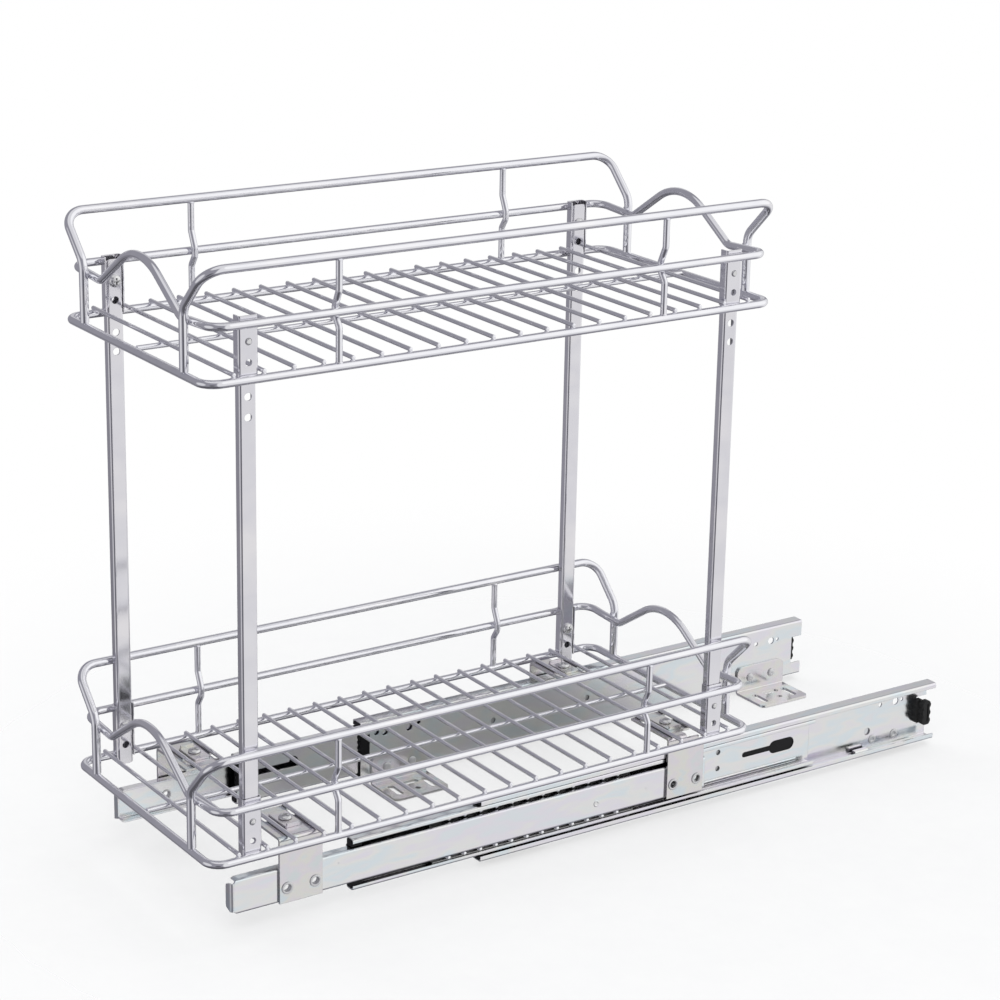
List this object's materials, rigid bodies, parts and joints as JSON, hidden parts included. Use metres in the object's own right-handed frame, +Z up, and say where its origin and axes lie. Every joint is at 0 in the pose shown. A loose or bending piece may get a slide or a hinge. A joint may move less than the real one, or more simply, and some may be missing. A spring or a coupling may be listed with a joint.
{
  "type": "pull out cabinet basket",
  "caption": "Pull out cabinet basket: chrome wire baskets stacked on channel posts, carried by ball-bearing slides that stand on the cabinet floor.",
  "frame": {"origin": "centre of the footprint of the assembly as it stands partly drawn out, on the cabinet floor", "axes": "+X to the right, +Y into the cabinet, +Z up"},
  "size_m": [0.2214, 0.6972, 0.4957],
  "materials": {
    "chrome_wire": "bright chrome plate on steel wire",
    "plated_sheet": "bright plated pressed sheet",
    "zinc_steel": "bright zinc plate, faintly iridescent",
    "ball_cage_steel": "plain steel cage with polished balls",
    "rivet_steel": "bright zinc plate",
    "screw_steel": "plated screw",
    "black_plastic": "moulded plastic",
    "black_rubber": "soft moulded rubber"
  },
  "bodies": {
    "cabinet_side": {"outer_member_left": "zinc_steel", "outer_member_right": "zinc_steel", "rear_bumper_left": "black_rubber", "rear_bumper_right": "black_rubber", "outer_front_stop_left": "black_plastic", "outer_front_stop_right": "black_plastic", "floor_plate_front_left": "zinc_steel", "floor_plate_front_right": "zinc_steel", "floor_plate_rear_left": "zinc_steel", "floor_plate_rear_right": "zinc_steel", "floor_plate_rivets_left": "rivet_steel", "floor_plate_rivets_right": "rivet_steel"},
    "carriage": {"lower_frame_wire": "chrome_wire", "lower_cross_wires": "chrome_wire", "lower_centre_wire": "chrome_wire", "lower_mid_rail": "chrome_wire", "lower_top_rail_left": "chrome_wire", "lower_top_rail_right": "chrome_wire", "lower_upright_wires": "chrome_wire", "lower_post_sockets": "plated_sheet", "upper_frame_wire": "chrome_wire", "upper_cross_wires": "chrome_wire", "upper_centre_wire": "chrome_wire", "upper_mid_rail": "chrome_wire", "upper_top_rail_left": "chrome_wire", "upper_top_rail_right": "chrome_wire", "upper_upright_wires": "chrome_wire", "upper_post_sockets": "plated_sheet", "post_front_left": "plated_sheet", "post_front_right": "plated_sheet", "post_rear_left": "plated_sheet", "post_rear_right": "plated_sheet", "lower_post_screws": "screw_steel", "upper_post_screws": "screw_steel", "inner_member_left": "zinc_steel", "inner_member_right": "zinc_steel", "carrier_plate_front_left": "zinc_steel", "carrier_plate_front_right": "zinc_steel", "carrier_plate_rear_left": "zinc_steel", "carrier_plate_rear_right": "zinc_steel", "carrier_eyelets_left": "rivet_steel", "carrier_eyelets_right": "rivet_steel", "wire_clamp_front_left": "zinc_steel", "wire_clamp_front_right": "zinc_steel", "wire_clamp_rear_left": "zinc_steel", "wire_clamp_rear_right": "zinc_steel", "clamp_screws_left": "screw_steel", "clamp_screws_right": "screw_steel"},
    "middle_left": {"middle_member_left": "zinc_steel", "middle_front_stop_left": "black_plastic"},
    "outer_cage_left": {"outer_ball_cage_left": "ball_cage_steel"},
    "inner_cage_left": {"inner_ball_cage_left": "ball_cage_steel"},
    "middle_right": {"middle_member_right": "zinc_steel", "middle_front_stop_right": "black_plastic"},
    "outer_cage_right": {"outer_ball_cage_right": "ball_cage_steel"},
    "inner_cage_right": {"inner_ball_cage_right": "ball_cage_steel"}
  },
  "joints": [
    {"name": "carriage_pull", "type": "slide", "parent": "cabinet_side", "child": "carriage", "axis": [0, -1, 0], "range_m": [-0.199, 0.241]},
    {"name": "middle_left_slide", "type": "slide", "parent": "cabinet_side", "child": "middle_left", "axis": [0, -1, 0], "range_m": [-0.1, 0.121]},
    {"name": "outer_cage_left_slide", "type": "slide", "parent": "cabinet_side", "child": "outer_cage_left", "axis": [0, -1, 0], "range_m": [-0.05, 0.0605]},
    {"name": "inner_cage_left_slide", "type": "slide", "parent": "cabinet_side", "child": "inner_cage_left", "axis": [0, -1, 0], "range_m": [-0.15, 0.181]},
    {"name": "middle_right_slide", "type": "slide", "parent": "cabinet_side", "child": "middle_right", "axis": [0, -1, 0], "range_m": [-0.1, 0.121]},
    {"name": "outer_cage_right_slide", "type": "slide", "parent": "cabinet_side", "child": "outer_cage_right", "axis": [0, -1, 0], "range_m": [-0.05, 0.0605]},
    {"name": "inner_cage_right_slide", "type": "slide", "parent": "cabinet_side", "child": "inner_cage_right", "axis": [0, -1, 0], "range_m": [-0.15, 0.181]}
  ],
  "couplings": [
    {"joint": "middle_left_slide", "follows": "carriage_pull", "ratio": 0.5},
    {"joint": "outer_cage_left_slide", "follows": "carriage_pull", "ratio": 0.25},
    {"joint": "inner_cage_left_slide", "follows": "carriage_pull", "ratio": 0.75},
    {"joint": "middle_right_slide", "follows": "carriage_pull", "ratio": 0.5},
    {"joint": "outer_cage_right_slide", "follows": "carriage_pull", "ratio": 0.25},
    {"joint": "inner_cage_right_slide", "follows": "carriage_pull", "ratio": 0.75}
  ]
}
